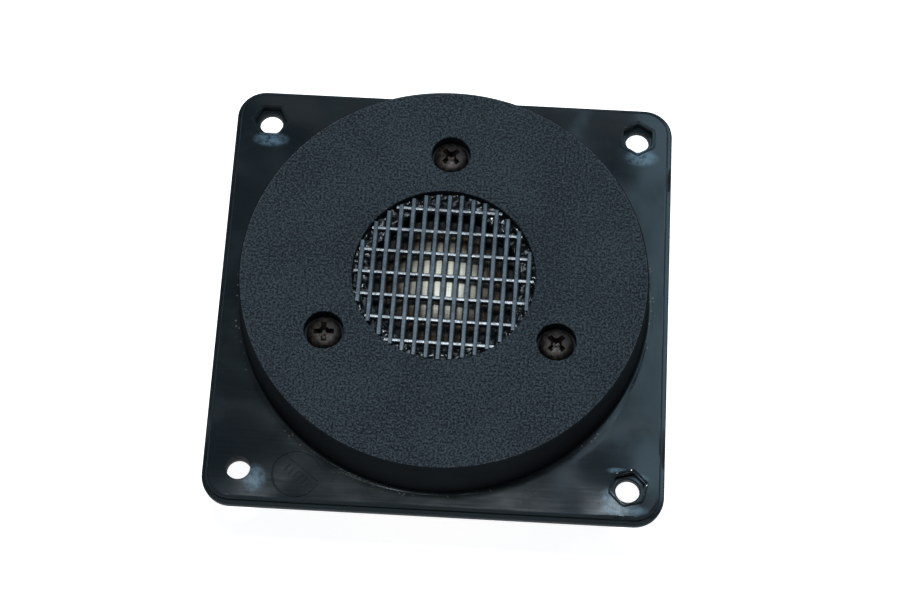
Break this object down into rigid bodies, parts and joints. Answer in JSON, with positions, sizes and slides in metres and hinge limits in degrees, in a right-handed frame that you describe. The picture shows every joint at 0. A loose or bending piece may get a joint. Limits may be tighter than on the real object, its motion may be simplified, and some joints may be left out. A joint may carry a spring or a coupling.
{
  "type": "dome tweeter",
  "caption": "Small dome tweeter on a square flange, with a raised round front, a recessed grid grille and a ring-magnet motor behind.",
  "frame": {"origin": "centre of the mounting holes on the flange's rear face, on the axis of the dome and motor", "axes": "+Z out of the front along the dome's axis, +X and +Y along the flange's sides; the terminals are on the -Y side"},
  "size_m": [0.095, 0.095, 0.0317],
  "materials": {
    "moulding": "matte",
    "gasket_rubber": "matte",
    "grille_plastic": "satin",
    "black_adhesive": "gloss",
    "browned_steel": "satin",
    "grey_card": "matte",
    "ring_plastic": "matte",
    "roll_cloth": "matte",
    "dome_cloth": "satin",
    "former_paper": "matte",
    "copper_wire": "satin",
    "felt": "matte",
    "zinc_steel": "satin",
    "ferrite": "matte",
    "amber_adhesive": "satin",
    "bare_steel": "satin",
    "laminate_board": "satin",
    "tinned_brass": "satin",
    "rivet_metal": "satin",
    "solder": "satin",
    "red_paint": "gloss"
  },
  "bodies": {
    "housing": {"front_plate": "moulding", "flange_gasket": "gasket_rubber", "grille": "grille_plastic", "grille_adhesive": "black_adhesive", "front_screws": "browned_steel", "clamp_gasket": "grey_card", "diaphragm_ring": "ring_plastic", "coil_leads": "copper_wire", "pole_felt": "felt", "top_plate": "zinc_steel", "magnet": "ferrite", "magnet_adhesive": "amber_adhesive", "pole_piece": "bare_steel", "back_plate": "zinc_steel", "terminal_board": "laminate_board", "terminal_positive": "tinned_brass", "terminal_negative": "tinned_brass", "terminal_rivets": "rivet_metal", "board_screws": "zinc_steel", "solder_joints": "solder", "polarity_dot": "red_paint"},
    "diaphragm": {"surround": "roll_cloth", "dome": "dome_cloth", "voice_coil_former": "former_paper", "voice_coil": "copper_wire"}
  },
  "joints": [
    {"name": "diaphragm_travel", "type": "slide", "parent": "housing", "child": "diaphragm", "axis": [0, 0, 1], "range_m": [-0.0004, 0.0004], "stiffness_N_per_m": 15000, "deforming": ["surround"]}
  ]
}
